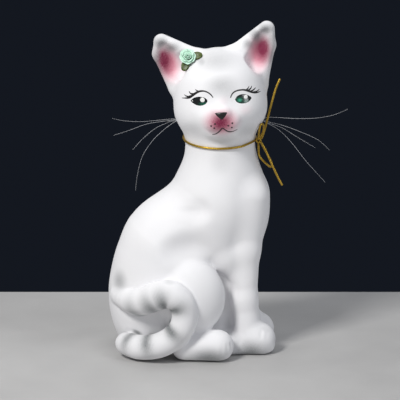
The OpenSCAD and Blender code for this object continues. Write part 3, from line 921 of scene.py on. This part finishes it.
NYLON = plain_look("nylon_strand", (0.5, 0.51, 0.53), 0.35, (0.36, 0.37, 0.39), 500, 0.00002)
GLUE = glue_look()
make_whiskers("left", 8, LEFT_WHISKERS, NYLON, GLUE)
make_whiskers("right", 172, RIGHT_WHISKERS, NYLON, GLUE)


# ---- Ribbon rose ------------------------------------------------------------
ROSE = Place((-2, -10.4, 247.4), turn("z", -6) @ turn("x", 65))
PAD_H = 2
RIBBON = 0.28
# How far from the rose's middle its leaves begin
LEAF_FOOT = 3.2


def ribbon_sheet(rows, place):
    """A closed thin sheet from rows of points in the place's frame."""
    grid = np.array(rows, float)
    across = np.gradient(grid, axis=1)
    along = np.gradient(grid, axis=0)
    normal = np.cross(along, across)
    normal /= np.maximum(np.linalg.norm(normal, axis=2), 1e-9)[..., None]
    m, n = grid.shape[:2]
    points = np.concatenate([(grid + normal * RIBBON / 2).reshape(-1, 3),
                             (grid - normal * RIBBON / 2).reshape(-1, 3)])
    faces = []
    for i in range(m - 1):
        for j in range(n - 1):
            a = i * n + j
            faces.append([a, a + 1, a + n + 1, a + n])
            faces.append([v + m * n for v in (a + n, a + n + 1, a + 1, a)])
    rim = ([(0, j) for j in range(n)] + [(i, n - 1) for i in range(1, m)]
           + [(m - 1, j) for j in range(n - 2, -1, -1)] + [(i, 0) for i in range(m - 2, 0, -1)])
    rim = [i * n + j for i, j in rim]
    faces += [[a, b, b + m * n, a + m * n] for a, b in zip(rim, rim[1:] + rim[:1])]
    return place.out(points), faces


def petal_rows(angle, radius, spread, height, curl, tilt):
    """One petal: a strip of ribbon round the bud whose top edge rolls outwards."""
    rows = []
    for a in np.linspace(-spread, spread, 19):
        fade = math.cos(a / spread * math.pi / 2)
        row = []
        for v in np.linspace(0, 1, 13):
            roll = max(v - 0.55, 0) / 0.45
            r = radius * (0.50 + 0.5 * math.sqrt(v)) + curl * roll ** 1.6 * (0.4 + 0.6 * fade)
            z = height * (v * (0.82 + 0.18 * fade)) - curl * 0.9 * roll ** 3 * fade
            r += 0.18 * math.sin(7 * a + 3 * angle) * v
            turned = angle + a + tilt * v
            row.append([r * math.cos(turned), r * math.sin(turned), PAD_H + z])
        rows.append(row)
    return rows


def bud_rows():
    """The rolled middle of the rose."""
    rows = []
    for a in np.linspace(0, 5.2 * math.pi, 70):
        r = 0.35 + 0.105 * a
        top = 6.4 - 0.03 * a + 0.15 * math.sin(2.3 * a)
        rows.append([[(r + 0.3 * v ** 3) * math.cos(a), (r + 0.3 * v ** 3) * math.sin(a),
                      PAD_H + 0.6 + (top - 0.6) * v] for v in np.linspace(0, 1, 8)])
    return rows


def leaf_rows(angle, reach, width, height):
    """A leaf: one loop of ribbon that goes out, folds over its tip and comes back."""
    rows = []
    c, s = math.cos(angle), math.sin(angle)
    for t in np.linspace(0, 1, 33):
        turned = 2 * math.pi * t
        out = LEAF_FOOT + (reach - LEAF_FOOT) * (1 - math.cos(turned)) / 2
        share = (out - LEAF_FOOT) / (reach - LEAF_FOOT)
        lift = 0.75 - 0.95 * math.sin(turned) * (0.5 + 0.5 * share)
        half = width / 2 * (0.35 + 0.65 * math.sin(math.pi * min(share * 0.82 + 0.1, 1)))
        row = []
        for w in np.linspace(-1, 1, 7):
            cup = 0.35 * w * w
            x, y = out - 0.5 * abs(w) * share, half * w
            row.append([x * c - y * s, x * s + y * c, height + lift + cup])
        rows.append(row)
    return rows


def satin_look(name, colour, second, dark, sheen):
    look = Look(name, colour, 0.4, Sheen_Weight=sheen, Sheen_Roughness=0.4, Anisotropic=0.5)
    look.tint(look.map(look.noise(420, 4), 0.35, 0.65, 0, 1), second)
    look.tint(look.map(look.noise(160, 3), 0.55, 0.75, 0, 0.5), dark)
    look.rough(look.map(look.noise(2400, 2, (1, 0.15, 1)), 0.3, 0.7, 0.3, 0.5))
    look.bump(look.noise(3800, 2, (1, 0.12, 1)), 0.00006)
    return look.material


def make_rose():
    petals = [bud_rows()]
    for ring, (count, radius, spread, height, curl) in enumerate(
            [(3, 2.6, 1.25, 6.0, 0.7), (4, 4.1, 1.0, 5.2, 1.1), (5, 5.4, 0.85, 4.1, 1.35)]):
        for i in range(count):
            angle = 2 * math.pi * (i + 0.37 * ring) / count + rng.uniform(-0.12, 0.12)
            petals.append(petal_rows(angle, radius, spread, height + rng.uniform(-0.3, 0.3), curl, 0.12))
    mint = satin_look("mint_satin", (0.56, 0.85, 0.68), (0.70, 0.93, 0.80), (0.38, 0.72, 0.53), 0.3)
    olive = satin_look("olive_satin", (0.045, 0.075, 0.012), (0.09, 0.12, 0.022), (0.02, 0.03, 0.006), 0.05)
    dress(joined("rose_petals", [ribbon_sheet(rows, ROSE) for rows in petals]), mint, "mint_ribbon",
          "rose_bloom")
    leaves = [leaf_rows(math.radians(a), 12, 6.4, h) for a, h in ((-106, 1), (10, 2.2))]
    dress(joined("rose_leaf_loops", [ribbon_sheet(rows, ROSE) for rows in leaves]), olive, "green_ribbon",
          "rose_leaves")


make_rose()
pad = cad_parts["rose_glue_pad"]
pad.data.materials.clear()
pad.data.materials.append(GLUE)


# ---- Floor ------------------------------------------------------------------
FLOOR_REACH = 2500
# The floor ends here, where the photo's table has its far edge
FLOOR_BACK = 172


def make_stage():
    corners = [(-FLOOR_REACH, -FLOOR_REACH, 0), (FLOOR_REACH, -FLOOR_REACH, 0),
               (FLOOR_REACH, FLOOR_BACK, 0), (-FLOOR_REACH, FLOOR_BACK, 0)]
    floor = mesh_of("floor", corners, [[0, 1, 2, 3]])
    look = plain_look("pale_floor", (0.50, 0.495, 0.49), 0.6, (0.45, 0.445, 0.44), 9, 0.000005)
    floor.data.materials.append(look)


make_stage()
